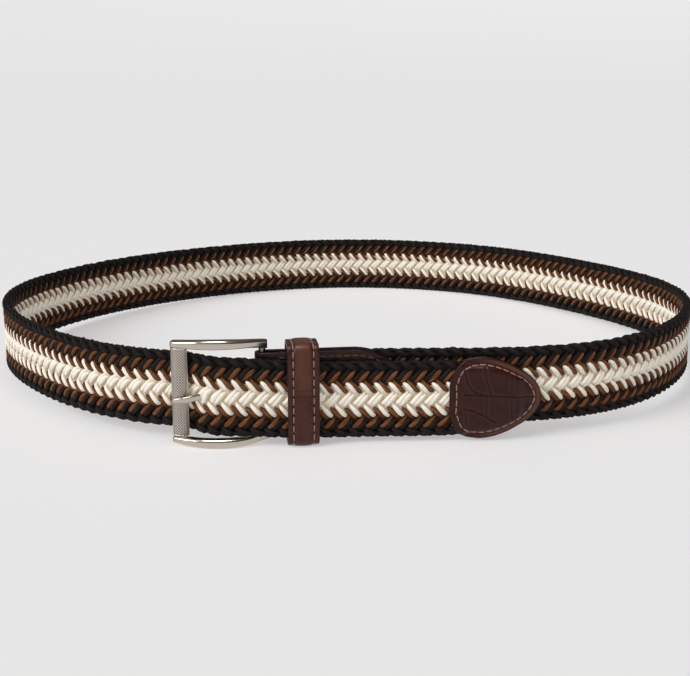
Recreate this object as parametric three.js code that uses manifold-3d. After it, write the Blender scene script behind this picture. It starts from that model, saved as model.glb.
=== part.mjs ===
// A braided belt with a prong buckle, fastened in a loop and standing on its lower edge.
// Millimetres, +Z up, buckle towards -Y. Places along the strap are distances past the heel bar.
import * as THREE from "three";
import { mergeVertices } from "three/addons/utils/BufferGeometryUtils.js";
import Module from "manifold-3d";

const wasm = await Module();
wasm.setup();

// Strap and loop
const LOOP_WIDTH = 380;
const LOOP_DEPTH = 342;
const BELT_WIDTH = 36;
const BRAID_THICK = 4;
const BRAID_EDGE_ROUND = 1.6;
const HEEL_LEFT = 38.5;
const GAP = 0.3;

// Buckle
const CHEEK_HEIGHT = 4.4;
const ROOM_UNDER_STRAP = 2.35;
const ROOM_OVER_STRAP = 2.95;
const CHEEK_DEPTH = 5;
const CHEEK_BOW = 5.4;
const BAR_SPACING = 36;
const HEEL_BAR = 3.2;
const KNURL_WIDTH = 7.4;
const KNURL_DEPTH = 5.4;
const SPIGOT = 3;
const SPIGOT_DEEP = 1.6;
const CHEEK_OVERHANG = 0.8;
const CHEEK_SHORT = 0.7;
const PRONG_WIDTH = 2.8;
const PRONG_THICK = 1.8;
const PRONG_PAST_BAR = 2.5;
const PRONG_LEAN = 4.6;
const PRONG_RAISE = 1.1;
const RING_WALL = 1.4;
const RING_HEIGHT = 4;

// Leather
const LEATHER = 1.5;
const TAB_LENGTH = 69;
const STRAP_START = 5;
const KEEPER_PLACE = 17.5;
const KEEPER_LENGTH = 14;
const KEEPER_ROOM = 7.3;
const KEEPER_SLACK = 1.6;
const KEEPER_WALL = 2.4;
const KEEPER_ROUND = 4.6;
const TIP_PLACE = 84.6;
const TIP_LENGTH = 41.2;
const TIP_OVERHANG = 1.1;
const TIP_MARGIN = 3.4;
const TIP_EDGE = 3;
const TIP_BRAID = 3;
const BRAID_INTO_TIP = 0.78;
const WIDEST = 0.36;

// How far the free end hangs below the other end, and how much the prong spreads it.
const LAP_DROP = 4.3;
const LAP_SPREAD = 1;

// Sizes that follow from those above
const FRONT_LIFT = ROOM_UNDER_STRAP + CHEEK_HEIGHT;
const FRAME_HEIGHT = FRONT_LIFT + BELT_WIDTH + ROOM_OVER_STRAP + CHEEK_HEIGHT;
const KEEPER_HEIGHT = BELT_WIDTH + KEEPER_ROOM + 2 * KEEPER_WALL;
const TIP_HEIGHT = BELT_WIDTH + 2 * TIP_OVERHANG;
const PRONG_REACH = BAR_SPACING + PRONG_PAST_BAR;
const BRAID_HALF = BRAID_THICK / 2;
const TAB_OUT = BRAID_HALF + GAP + LEATHER / 2;
const TAB_FACE = TAB_OUT + LEATHER / 2;
const LAP_OUT = TAB_FACE + GAP + BRAID_HALF;
const TIP_HALF = TIP_BRAID / 2 + GAP + LEATHER;
const TIP_OUT = BRAID_HALF + GAP + TIP_HALF;
const BAR_OUT = BRAID_HALF + GAP + KNURL_DEPTH / 2;
const PRONG_OVER_BAR = BAR_OUT + KNURL_DEPTH / 2 + GAP + PRONG_THICK / 2;
const RING_INNER = HEEL_BAR / 2 + GAP;
const RING_OUTER = RING_INNER + RING_WALL;

// The loop from above: turn in degrees from the front towards +X, and how far the strap reaches from
// the middle there, as a share of half the loop's width.
const LOOP_SHAPE = [
  { turn: 0, reach: 0.87 },
  { turn: 22.5, reach: 0.925 },
  { turn: 45, reach: 1.01 },
  { turn: 67.5, reach: 1.015 },
  { turn: 90, reach: 0.99 },
  { turn: 112.5, reach: 0.92 },
  { turn: 135, reach: 0.9 },
  { turn: 157.5, reach: 0.905 },
  { turn: 180, reach: 0.9 },
  { turn: 202.5, reach: 0.88 },
  { turn: 225, reach: 0.885 },
  { turn: 247.5, reach: 0.93 },
  { turn: 270, reach: 0.995 },
  { turn: 292.5, reach: 1.01 },
  { turn: 315, reach: 1.0 },
  { turn: 337.5, reach: 0.965 },
];

// The free end's way through the buckle and over the other end: outwards from the loop's own line,
// and the shares of the drop and of the spread that it has there.
const LAP_WAY = [
  { past: -1.5 * BAR_SPACING, out: 0, drop: 0, spread: 0 },
  { past: -1.02 * BAR_SPACING, out: 0, drop: 0, spread: 0 },
  { past: -0.9 * BAR_SPACING, out: 0.1 * LAP_OUT, drop: 0.08, spread: 0.3 },
  { past: -0.72 * BAR_SPACING, out: 0.68 * LAP_OUT, drop: 0.18, spread: 0.9 },
  { past: -0.5 * BAR_SPACING, out: 0.94 * LAP_OUT, drop: 0.3, spread: 1 },
  { past: -0.25 * BAR_SPACING, out: LAP_OUT, drop: 0.35, spread: 0.8 },
  { past: 0, out: LAP_OUT, drop: 0.5, spread: 0.5 },
  { past: KEEPER_PLACE, out: LAP_OUT, drop: 0.8, spread: 0.15 },
  { past: 0.6 * TAB_LENGTH, out: LAP_OUT, drop: 0.95, spread: 0 },
  { past: TAB_LENGTH, out: LAP_OUT, drop: 1, spread: 0 },
  { past: TIP_PLACE, out: TIP_OUT, drop: 0.97, spread: 0 },
  { past: TIP_PLACE + TIP_LENGTH, out: TIP_OUT, drop: 0.97, spread: 0 },
];

// The tip's outline, which the tab's ends repeat: shares of its length and of half its height.
const TIP_SHAPE = [
  { along: 0, half: 0.36 },
  { along: 0.02, half: 0.5 },
  { along: 0.05, half: 0.68 },
  { along: 0.1, half: 0.84 },
  { along: 0.18, half: 0.945 },
  { along: 0.27, half: 0.985 },
  { along: WIDEST, half: 1 },
  { along: 0.5, half: 0.95 },
  { along: 0.64, half: 0.84 },
  { along: 0.75, half: 0.71 },
  { along: 0.85, half: 0.57 },
  { along: 0.93, half: 0.4 },
  { along: 0.98, half: 0.22 },
  { along: 1, half: 0.08 },
];

// A cheek from the heel bar's end to the knurled bar's end: shares of its length, of its bow
// outwards, of its depth, and how far its outer edge draws in and its inner edge dips towards
// the strap, both as shares of its height.
const CHEEK_SHAPE = [
  { along: 0, bow: 0, depth: 0.62, draw: 0.42, dip: 0.34 },
  { along: 0.04, bow: 0.04, depth: 0.8, draw: 0.36, dip: 0.28 },
  { along: 0.12, bow: 0.3, depth: 0.9, draw: 0.26, dip: 0.12 },
  { along: 0.22, bow: 0.66, depth: 0.96, draw: 0.15, dip: 0 },
  { along: 0.33, bow: 0.9, depth: 1, draw: 0.06, dip: 0 },
  { along: 0.45, bow: 1, depth: 1, draw: 0, dip: 0 },
  { along: 0.57, bow: 1, depth: 1, draw: 0, dip: 0 },
  { along: 0.7, bow: 0.86, depth: 1, draw: 0.05, dip: 0 },
  { along: 0.82, bow: 0.6, depth: 1, draw: 0.14, dip: 0 },
  { along: 0.92, bow: 0.32, depth: 1, draw: 0.24, dip: 0 },
  { along: 1, bow: 0.08, depth: 0.98, draw: 0.32, dip: 0 },
];

// The prong from the heel bar to its point: shares of its reach, of its height over the knurled
// bar, of its width and of its thickness.
const PRONG_SHAPE = [
  { along: 0.05, out: 0.1, width: 1.1, thick: 0.9 },
  { along: 0.14, out: 0.16, width: 1.1, thick: 0.95 },
  { along: 0.32, out: 0.18, width: 1.08, thick: 1 },
  { along: 0.48, out: 0.19, width: 1.05, thick: 1 },
  { along: 0.57, out: 0.25, width: 1, thick: 1 },
  { along: 0.67, out: 0.49, width: 1, thick: 1 },
  { along: 0.78, out: 0.82, width: 0.98, thick: 1 },
  { along: 0.86, out: 0.97, width: 0.92, thick: 1 },
  { along: 0.93, out: 1, width: 0.8, thick: 0.95 },
  { along: 0.98, out: 1, width: 0.55, thick: 0.7 },
  { along: 1, out: 0.98, width: 0.2, thick: 0.35 },
];

const FINISH = {
  braid: { color: "#3a2a22", roughness: 0.85, metalness: 0 },
  leather: { color: "#4a2a22", roughness: 0.4, metalness: 0 },
  nickel: { color: "#bdb6ae", roughness: 0.22, metalness: 1 },
  knurl: { color: "#b9b2aa", roughness: 0.35, metalness: 1 },
};

// The loop's reach at any turn: the one smooth wave that passes through every row of the table.
function reachAt(turn) {
  const count = LOOP_SHAPE.length;
  let reach = 0;
  for (const row of LOOP_SHAPE) {
    const away = turn - THREE.MathUtils.degToRad(row.turn);
    let weight = 1 + Math.cos((away * count) / 2);
    for (let wave = 1; wave < count / 2; wave++) {
      weight += 2 * Math.cos(away * wave);
    }
    reach += (row.reach * weight) / count;
  }
  return reach;
}

// The loop's line from above, stretched to the loop's width and depth.
function loopLine() {
  const steps = 240;
  const points = [];
  for (let i = 0; i < steps; i++) {
    const turn = (2 * Math.PI * i) / steps;
    const reach = reachAt(turn);
    points.push(new THREE.Vector3(reach * Math.sin(turn), -reach * Math.cos(turn), 0));
  }
  const box = new THREE.Box3().setFromPoints(points);
  const size = box.getSize(new THREE.Vector3());
  const middle = box.getCenter(new THREE.Vector3());
  const stretch = new THREE.Vector3(LOOP_WIDTH / size.x, LOOP_DEPTH / size.y, 1);
  for (const point of points) {
    point.sub(middle).multiply(stretch);
  }
  const line = new THREE.CatmullRomCurve3(points, true);
  line.arcLengthDivisions = 4 * steps;
  return line;
}

const LOOP = loopLine();
const LOOP_LENGTH = LOOP.getLength();

// The point this far past the heel bar, this far outwards of the loop's line, at height z.
function at(past, out, z) {
  const share = (past - HEEL_LEFT) / LOOP_LENGTH;
  const turned = share - Math.floor(share);
  const point = LOOP.getPointAt(turned);
  const ahead = LOOP.getTangentAt(turned);
  return new THREE.Vector3(point.x + ahead.y * out, point.y - ahead.x * out, z);
}

// The height of the strap's middle line: it stands on the floor at the back, and at the front the
// buckle and the keeper hold it up.
function middleHeight(past) {
  const behind = LOOP_DEPTH / 2 - at(past, 0, 0).y;
  return BELT_WIDTH / 2 + (FRONT_LIFT * behind) / LOOP_DEPTH;
}

// A column of a table at any place, by a cubic that passes smoothly through its rows.
function between(rows, key, column, place) {
  const last = rows.length - 1;
  const clamped = THREE.MathUtils.clamp(place, rows[0][key], rows[last][key]);
  let i = 0;
  while (i < last - 1 && clamped > rows[i + 1][key]) {
    i++;
  }
  const slope = (j) => {
    const before = rows[Math.max(j - 1, 0)];
    const after = rows[Math.min(j + 1, last)];
    return (after[column] - before[column]) / (after[key] - before[key]);
  };
  const width = rows[i + 1][key] - rows[i][key];
  const t = (clamped - rows[i][key]) / width;
  const rise = rows[i + 1][column] - rows[i][column];
  const start = width * slope(i);
  const end = width * slope(i + 1);
  const bend = 3 * rise - 2 * start - end;
  const twist = start + end - 2 * rise;
  return rows[i][column] + t * (start + t * (bend + t * twist));
}

// A box from low to high and from inner to outer with rounded corners, as [out, z] pairs.
function roundedBox(inner, outer, low, high, round, cornerSteps = 2) {
  const corners = [
    { out: outer - round, z: high - round, from: 0 },
    { out: inner + round, z: high - round, from: 1 },
    { out: inner + round, z: low + round, from: 2 },
    { out: outer - round, z: low + round, from: 3 },
  ];
  return corners.flatMap(({ out, z, from }) =>
    Array.from({ length: cornerSteps + 1 }, (_, k) => {
      const angle = ((from + k / cornerSteps) * Math.PI) / 2;
      return [out + round * Math.cos(angle), z + round * Math.sin(angle)];
    }),
  );
}

// A closed skin over rings of points, with as many points in each ring and a flat end at each end.
function loft(rings, ringShape) {
  const count = ringShape.length;
  const corners = rings.flat();
  const faces = [];
  for (let i = 0; i < rings.length - 1; i++) {
    for (let j = 0; j < count; j++) {
      const a = i * count + j;
      const b = i * count + ((j + 1) % count);
      faces.push(a, b + count, b, a, a + count, b + count);
    }
  }
  const flat = ringShape.map(([x, y]) => new THREE.Vector2(x, y));
  const lastRing = (rings.length - 1) * count;
  for (const [a, b, c] of THREE.ShapeUtils.triangulateShape(flat, [])) {
    faces.push(a, b, c, lastRing + c, lastRing + b, lastRing + a);
  }
  const geometry = new THREE.BufferGeometry().setFromPoints(corners);
  geometry.setIndex(faces);
  return solid(geometry);
}

// Stations along the strap, each with its [out, z] outline, as one solid.
function loftAlong(stations) {
  const rings = stations.map(({ past, outline }) => outline.map(([out, z]) => at(past, out, z)));
  return loft(rings, stations[0].outline);
}

// A geometry as a solid that can be joined and cut.
function solid(geometry) {
  const plain = geometry.clone();
  plain.deleteAttribute("normal");
  plain.deleteAttribute("uv");
  const merged = mergeVertices(plain, 1e-4);
  const vertProperties = new Float32Array(merged.attributes.position.array);
  const triVerts = new Uint32Array(merged.index.array);
  return new wasm.Manifold(new wasm.Mesh({ numProp: 3, vertProperties, triVerts }));
}

// A solid as a named mesh.
function part(name, made, finish) {
  const { vertProperties, triVerts } = made.getMesh();
  const geometry = new THREE.BufferGeometry();
  geometry.setAttribute("position", new THREE.BufferAttribute(vertProperties, 3));
  geometry.setIndex(new THREE.BufferAttribute(triVerts, 1));
  geometry.computeVertexNormals();
  const mesh = new THREE.Mesh(geometry, new THREE.MeshStandardMaterial(finish));
  mesh.name = name;
  return mesh;
}

// An upright round or oval bar.
function uprightBar(past, out, low, high, width, depth) {
  const bar = new THREE.CylinderGeometry(0.5, 0.5, high - low, 32);
  bar.rotateX(Math.PI / 2);
  bar.scale(width, depth, 1);
  const foot = at(past, out, (low + high) / 2);
  const ahead = at(past + 1, out, 0).sub(at(past - 1, out, 0));
  bar.rotateZ(Math.atan2(ahead.y, ahead.x));
  bar.translate(foot.x, foot.y, foot.z);
  return solid(bar);
}

// The strap's section here: its middle line outwards and in height, its half height and thickness.
function strapHere(past) {
  const lapPast = past - LOOP_LENGTH;
  const column = (name) => between(LAP_WAY, "past", name, lapPast);
  const intoTip = (lapPast - TIP_PLACE) / TIP_LENGTH;
  const press = THREE.MathUtils.smoothstep(intoTip, -0.2, 0);
  const spread = (LAP_SPREAD / 2) * column("spread");
  const underLeather = Math.min(BELT_WIDTH / 2, tipHalfHeight(Math.max(intoTip, WIDEST)) - TIP_MARGIN);
  const narrowed = THREE.MathUtils.smoothstep(intoTip, 0, 0.3);
  return {
    out: column("out"),
    z: middleHeight(past) - LAP_DROP * column("drop"),
    halfHeight: THREE.MathUtils.lerp(BELT_WIDTH / 2 + spread, underLeather, narrowed),
    thick: THREE.MathUtils.lerp(BRAID_THICK, TIP_BRAID, press),
  };
}

function tipHalfHeight(along) {
  return (TIP_HEIGHT / 2) * between(TIP_SHAPE, "along", "half", along);
}

// A length of the strap, grown outwards on every side by spare.
function strapStretch(places, spare) {
  const stations = places.map((past) => {
    const { out, z, halfHeight, thick } = strapHere(past);
    const half = thick / 2 + spare;
    const tall = halfHeight + spare;
    const round = Math.min(BRAID_EDGE_ROUND, 0.8 * half);
    return { past, outline: roundedBox(out - half, out + half, z - tall, z + tall, round, 3) };
  });
  return loftAlong(stations);
}

function evenPlaces(from, to, step) {
  const count = Math.ceil((to - from) / step);
  return Array.from({ length: count + 1 }, (_, i) => from + ((to - from) * i) / count);
}

const STRAP_END = LOOP_LENGTH + TIP_PLACE + BRAID_INTO_TIP * TIP_LENGTH;

function braidedStrap() {
  const lapStart = LOOP_LENGTH + LAP_WAY[0].past;
  const loopPlaces = evenPlaces(STRAP_START, lapStart, 8);
  const lapPlaces = evenPlaces(lapStart, STRAP_END, 2.6);
  const whole = strapStretch([...loopPlaces, ...lapPlaces.slice(1)], 0);
  return whole.subtract(prongBlade(GAP));
}

// The leather cap on the free end, with a pocket for the braid.
function tipLeather() {
  const stations = TIP_SHAPE.map(({ along }) => {
    const past = LOOP_LENGTH + TIP_PLACE + along * TIP_LENGTH;
    const { out, z } = strapHere(past);
    const tall = tipHalfHeight(along);
    const raised = Math.max(tall - TIP_MARGIN, 0.3 * tall);
    const edge = TIP_EDGE / 2;
    const face = THREE.MathUtils.lerp(TIP_HALF, edge + 0.2, THREE.MathUtils.smoothstep(along, 0.8, 1));
    const outline = [
      [out - edge, z - tall],
      [out + edge, z - tall],
      [out + face, z - raised],
      [out + face, z + raised],
      [out + edge, z + tall],
      [out - edge, z + tall],
      [out - face, z + raised],
      [out - face, z - raised],
    ];
    return { past, outline };
  });
  const mouth = LOOP_LENGTH + TIP_PLACE - GAP;
  const pocket = strapStretch(evenPlaces(mouth, STRAP_END + GAP, 2), GAP);
  return loftAlong(stations).subtract(pocket);
}

// One strip of leather that runs along the front of the strap's end, round the heel bar and back.
function tabLeather() {
  const foldMiddle = HEEL_BAR / 2 + GAP + LEATHER / 2;
  const straight = TAB_LENGTH - (1 - WIDEST) * TIP_LENGTH;
  const leg = [];
  for (const { along, half } of TIP_SHAPE.filter((row) => row.along >= WIDEST).reverse()) {
    const past = TAB_LENGTH - (1 - along) * TIP_LENGTH;
    leg.push({ past, out: TAB_OUT, tall: (BELT_WIDTH / 2) * half });
  }
  for (const share of [0.75, 0.5, 0.3, 0.16, 0.08, 0.04]) {
    const out = THREE.MathUtils.lerp(foldMiddle, TAB_OUT, THREE.MathUtils.smoothstep(share, 0, 0.08));
    leg.push({ past: share * straight, out, tall: BELT_WIDTH / 2 });
  }
  const fold = [];
  for (let k = 0; k <= 12; k++) {
    const angle = (Math.PI * k) / 12;
    const past = -foldMiddle * Math.sin(angle);
    fold.push({ past, out: foldMiddle * Math.cos(angle), tall: BELT_WIDTH / 2 });
  }
  const back = leg.map((row) => ({ ...row, out: -row.out })).reverse();
  const way = [...leg, ...fold, ...back];
  const rings = way.map((row, i) => {
    const before = way[Math.max(i - 1, 0)];
    const after = way[Math.min(i + 1, way.length - 1)];
    const run = new THREE.Vector2(after.past - before.past, after.out - before.out).normalize();
    const side = new THREE.Vector2(-run.y, run.x).multiplyScalar(LEATHER / 2);
    const z = middleHeight(row.past);
    return [
      at(row.past - side.x, row.out - side.y, z - row.tall),
      at(row.past + side.x, row.out + side.y, z - row.tall),
      at(row.past + side.x, row.out + side.y, z + row.tall),
      at(row.past - side.x, row.out - side.y, z + row.tall),
    ];
  });
  const strip = loft(rings, [[0, 0], [1, 0], [1, 1], [0, 1]]);
  const slotHalf = RING_HEIGHT / 2 + GAP;
  const slotEnd = RING_OUTER + GAP;
  const slotOut = TAB_FACE + GAP;
  const root = prongHeight(0);
  const slot = [-slotEnd - GAP, slotEnd].map((past) => ({
    past,
    outline: [
      [slotOut, root + slotHalf],
      [-slotOut, root + slotHalf],
      [-slotOut, root - slotHalf],
      [slotOut, root - slotHalf],
    ],
  }));
  return strip.subtract(loftAlong(slot));
}

// The keeper: one leather wall round both ends of the strap.
function keeperLoop() {
  const inner = -TAB_FACE - GAP;
  const outer = LAP_OUT + BRAID_HALF + KEEPER_SLACK;
  const wall = (spare, round, pasts) =>
    loftAlong(
      pasts.map((past) => ({
        past,
        outline: roundedBox(
          inner - spare,
          outer + spare,
          KEEPER_WALL - spare,
          KEEPER_HEIGHT - KEEPER_WALL + spare,
          round,
          4,
        ),
      })),
    );
  const start = KEEPER_PLACE - KEEPER_LENGTH / 2;
  const end = KEEPER_PLACE + KEEPER_LENGTH / 2;
  const outside = wall(KEEPER_WALL, KEEPER_ROUND, evenPlaces(start, end, 3));
  const inside = wall(0, KEEPER_ROUND - KEEPER_WALL, [start - 1, KEEPER_PLACE, end + 1]);
  return outside.subtract(inside);
}

// A cheek at the top or, turned over, at the bottom of the frame.
function cheek(side) {
  const start = HEEL_BAR / 2 + CHEEK_OVERHANG;
  const length = start + BAR_SPACING + KNURL_WIDTH / 2 - CHEEK_SHORT;
  const middle = FRAME_HEIGHT / 2;
  const places = evenPlaces(0, 1, 1 / 22);
  const stations = places.map((along) => {
    const column = (name) => between(CHEEK_SHAPE, "along", name, along);
    const out = THREE.MathUtils.lerp(0, BAR_OUT, along) + CHEEK_BOW * column("bow");
    const half = (CHEEK_DEPTH / 2) * column("depth");
    const innerEdge = middle - CHEEK_HEIGHT * (1 + Math.max(column("dip"), 0));
    const outerEdge = middle - CHEEK_HEIGHT * Math.max(column("draw"), 0);
    const low = side > 0 ? middle + innerEdge : middle - outerEdge;
    const high = side > 0 ? middle + outerEdge : middle - innerEdge;
    const round = 0.38 * Math.min(2 * half, high - low);
    const outline = roundedBox(out - half, out + half, low, high, round, 3);
    return { past: start - along * length, outline };
  });
  return loftAlong(stations.reverse());
}

function buckleFrame() {
  const edge = CHEEK_HEIGHT / 2;
  const heelBar = uprightBar(0, 0, edge, FRAME_HEIGHT - edge, HEEL_BAR, HEEL_BAR);
  const socketHalf = FRAME_HEIGHT / 2 - CHEEK_HEIGHT + SPIGOT_DEEP + GAP;
  const sockets = uprightBar(
    -BAR_SPACING,
    BAR_OUT,
    FRAME_HEIGHT / 2 - socketHalf,
    FRAME_HEIGHT / 2 + socketHalf,
    SPIGOT + 2 * GAP,
    SPIGOT + 2 * GAP,
  );
  return cheek(1).add(cheek(-1)).add(heelBar).subtract(sockets);
}

function knurledBar() {
  const inner = FRAME_HEIGHT / 2 - CHEEK_HEIGHT;
  const middle = FRAME_HEIGHT / 2;
  const upright = (half, width, depth) =>
    uprightBar(-BAR_SPACING, BAR_OUT, middle - half, middle + half, width, depth);
  const body = upright(inner - GAP, KNURL_WIDTH, KNURL_DEPTH);
  return body.add(upright(inner + SPIGOT_DEEP, SPIGOT, SPIGOT));
}

// The prong leans a little along its way, from its root above the frame's middle.
function prongHeight(along) {
  return FRAME_HEIGHT / 2 + PRONG_RAISE - PRONG_LEAN * along;
}

function prongBlade(spare) {
  const stations = evenPlaces(PRONG_SHAPE[0].along, 1, 1 / 36).map((along) => {
    const column = (name) => between(PRONG_SHAPE, "along", name, along);
    const out = PRONG_OVER_BAR * column("out");
    const half = (PRONG_THICK / 2) * column("thick") + spare;
    const tall = (PRONG_WIDTH / 2) * column("width") + spare;
    const z = prongHeight(along);
    const round = 0.5 * Math.min(half, tall);
    return {
      past: -PRONG_REACH * along,
      outline: roundedBox(out - half, out + half, z - tall, z + tall, round, 2),
    };
  });
  return loftAlong(stations.reverse());
}

function prong() {
  const root = prongHeight(0);
  const low = root - RING_HEIGHT / 2;
  const high = root + RING_HEIGHT / 2;
  const ring = uprightBar(0, 0, low, high, 2 * RING_OUTER, 2 * RING_OUTER);
  const bore = uprightBar(0, 0, low - 1, high + 1, 2 * RING_INNER, 2 * RING_INNER);
  return ring.add(prongBlade(0)).subtract(bore);
}

const belt = new THREE.Group();
belt.add(
  part("braided_strap", braidedStrap(), FINISH.braid),
  part("tip_leather", tipLeather(), FINISH.leather),
  part("tab_leather", tabLeather(), FINISH.leather),
  part("keeper_loop", keeperLoop(), FINISH.leather),
  part("buckle_frame", buckleFrame(), FINISH.nickel),
  part("knurled_bar", knurledBar(), FINISH.knurl),
  part("prong", prong(), FINISH.nickel),
);

// The origin is under the middle of the belt's box, on the floor.
const box = new THREE.Box3().setFromObject(belt);
belt.position.set(-(box.min.x + box.max.x) / 2, -(box.min.y + box.max.y) / 2, -box.min.z);

export default belt;
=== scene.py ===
import math

import bmesh
import bpy
import numpy as np
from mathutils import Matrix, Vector


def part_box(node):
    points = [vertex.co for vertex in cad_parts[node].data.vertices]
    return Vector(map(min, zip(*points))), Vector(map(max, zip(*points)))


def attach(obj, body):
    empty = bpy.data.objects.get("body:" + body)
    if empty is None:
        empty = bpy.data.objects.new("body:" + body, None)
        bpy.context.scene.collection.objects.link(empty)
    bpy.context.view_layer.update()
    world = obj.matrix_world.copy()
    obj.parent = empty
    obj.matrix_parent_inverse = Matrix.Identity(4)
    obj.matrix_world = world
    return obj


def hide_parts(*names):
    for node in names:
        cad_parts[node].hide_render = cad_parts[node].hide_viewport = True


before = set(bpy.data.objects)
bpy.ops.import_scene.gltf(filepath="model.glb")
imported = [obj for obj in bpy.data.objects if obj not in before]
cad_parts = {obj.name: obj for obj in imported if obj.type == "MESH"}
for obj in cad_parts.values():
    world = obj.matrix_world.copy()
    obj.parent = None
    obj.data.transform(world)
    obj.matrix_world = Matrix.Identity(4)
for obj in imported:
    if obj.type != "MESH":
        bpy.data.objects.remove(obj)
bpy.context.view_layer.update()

# A braided belt, fastened and standing on its lower edge. Lengths in this file are in
# millimetres unless a name says otherwise, and turn into metres where a mesh is placed.

mm = 0.001
dice = np.random.default_rng(35)

# The way the strap runs

belt = {
    "loopWidth": 380.0,        # along the strap's middle line
    "loopDepth": 342.0,
    "width": 36.0,             # over the outermost cords
    "thick": 4.0,
    "heelLeft": 38.5,          # from the middle of the front back to the heel bar
    "frontLift": 6.75,         # the buckle holds the front up by this much
    "start": 5.0,              # the braid begins this far past the heel bar
    "lapDrop": 4.3,
    "lapSpread": 1.0,
    # how far the strap is from the loop's middle, every 22.5 degrees from the front
    "reach": [
        0.87, 0.925, 1.01, 1.015, 0.99, 0.92, 0.9, 0.905, 0.9, 0.88, 0.885, 0.93, 0.995, 1.01, 1.0, 0.965,
    ],
}
buckle = {
    "barSpacing": 36.0,
    "height": 50.1,
    "cheekHeight": 4.4,
    "cheekDepth": 5.0,
    "cheekBow": 5.4,
    "heelBar": 3.2,
    "knurlWidth": 7.4,
    "knurlDepth": 5.4,
    "overhang": 0.8,           # the cheeks run on past the heel bar
    "short": 0.7,              # and stop short of the knurled bar's outer side
    "seam": 0.3,
}
tip = {
    "place": 84.6,             # its mouth, past the heel bar
    "length": 41.2,
    "height": 38.2,
    "margin": 3.4,             # from the edge to the stitches
    "panel": 1.5,
    "braid": 3.0,              # the braid is pressed to this under the leather
    "braidInside": 0.78,
    "widest": 0.36,
    "gap": 0.3,
    "centre": 0.45,
}
tab = {"length": 69.0, "leather": 1.5, "gap": 0.3}
keeper = {
    "place": 17.5, "length": 14.0, "height": 48.1, "wall": 2.4, "corner": 4.6, "gap": 0.3, "slack": 1.6,
}

braidHalf = belt["thick"] / 2
tabOut = braidHalf + tab["gap"] + tab["leather"] / 2
tabFace = tabOut + tab["leather"] / 2
lapOut = tabFace + tab["gap"] + braidHalf
tipHalf = tip["braid"] / 2 + tip["gap"] + tip["panel"]
tipOut = braidHalf + tip["gap"] + tipHalf
barOut = braidHalf + buckle["seam"] + buckle["knurlDepth"] / 2

# the free end: place past the heel bar, out from the loop's line, share of the drop, of the spread
lapWay = [
    (-1.5 * buckle["barSpacing"], 0, 0, 0),
    (-1.02 * buckle["barSpacing"], 0, 0, 0),
    (-0.9 * buckle["barSpacing"], 0.1 * lapOut, 0.08, 0.3),
    (-0.72 * buckle["barSpacing"], 0.68 * lapOut, 0.18, 0.9),
    (-0.5 * buckle["barSpacing"], 0.94 * lapOut, 0.3, 1),
    (-0.25 * buckle["barSpacing"], lapOut, 0.35, 0.8),
    (0, lapOut, 0.5, 0.5),
    (keeper["place"], lapOut, 0.8, 0.15),
    (0.6 * tab["length"], lapOut, 0.95, 0),
    (tab["length"], lapOut, 1, 0),
    (tip["place"], tipOut, 0.97, 0),
    (tip["place"] + tip["length"], tipOut, 0.97, 0),
]
# the leather ends' outline: share of the length, share of half the height
tipOutline = [
    (0, 0.36), (0.02, 0.5), (0.05, 0.68), (0.1, 0.84), (0.18, 0.945), (0.27, 0.985), (0.36, 1),
    (0.5, 0.95), (0.64, 0.84), (0.75, 0.71), (0.85, 0.57), (0.93, 0.4), (0.98, 0.22), (1, 0.08),
]


def alongTable(table, column, place):
    # a column of a table at any place, by a cubic through its rows
    keys = np.array([row[0] for row in table], float)
    values = np.array([row[column] for row in table], float)
    place = np.clip(place, keys[0], keys[-1])
    slopes = np.empty(len(keys))
    slopes[1:-1] = (values[2:] - values[:-2]) / (keys[2:] - keys[:-2])
    slopes[0] = (values[1] - values[0]) / (keys[1] - keys[0])
    slopes[-1] = (values[-1] - values[-2]) / (keys[-1] - keys[-2])
    i = np.clip(np.searchsorted(keys, place) - 1, 0, len(keys) - 2)
    width = keys[i + 1] - keys[i]
    t = (place - keys[i]) / width
    rise = values[i + 1] - values[i]
    start = width * slopes[i]
    end = width * slopes[i + 1]
    return values[i] + t * (start + t * ((3 * rise - 2 * start - end) + t * (start + end - 2 * rise)))


def ease(value, low, high):
    t = np.clip((value - low) / (high - low), 0, 1)
    return t * t * (3 - 2 * t)


def loopLine():
    rows = len(belt["reach"])
    turns = np.linspace(0, math.tau, 1441)[:-1]
    away = turns[:, None] - np.arange(rows) * math.tau / rows
    weights = 1 + np.cos(away * rows / 2) + sum(2 * np.cos(away * wave) for wave in range(1, rows // 2))
    reach = weights @ np.array(belt["reach"]) / rows
    x = reach * np.sin(turns)
    y = -reach * np.cos(turns)
    x = (x - (x.max() + x.min()) / 2) * belt["loopWidth"] / np.ptp(x)
    y = (y - (y.max() + y.min()) / 2) * belt["loopDepth"] / np.ptp(y)
    x, y = np.append(x, x[0]), np.append(y, y[0])
    arc = np.append(0, np.cumsum(np.hypot(np.diff(x), np.diff(y))))
    ahead = np.roll(x[:-1], -1) - np.roll(x[:-1], 1), np.roll(y[:-1], -1) - np.roll(y[:-1], 1)
    size = np.hypot(*ahead)
    ahead = [np.append(part / size, part[0] / size[0]) for part in ahead]
    return {"arc": arc, "x": x, "y": y, "aheadX": ahead[0], "aheadY": ahead[1], "length": arc[-1]}


line = loopLine()
loopLength = line["length"]
strapLow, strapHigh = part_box("braided_strap")
shiftX = (strapLow[0] + strapHigh[0]) / 2 / mm
shiftY = strapHigh[1] / mm - belt["loopDepth"] / 2 - braidHalf


def onLoop(past, name):
    return np.interp(np.mod(past - belt["heelLeft"], loopLength), line["arc"], line[name])


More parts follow.
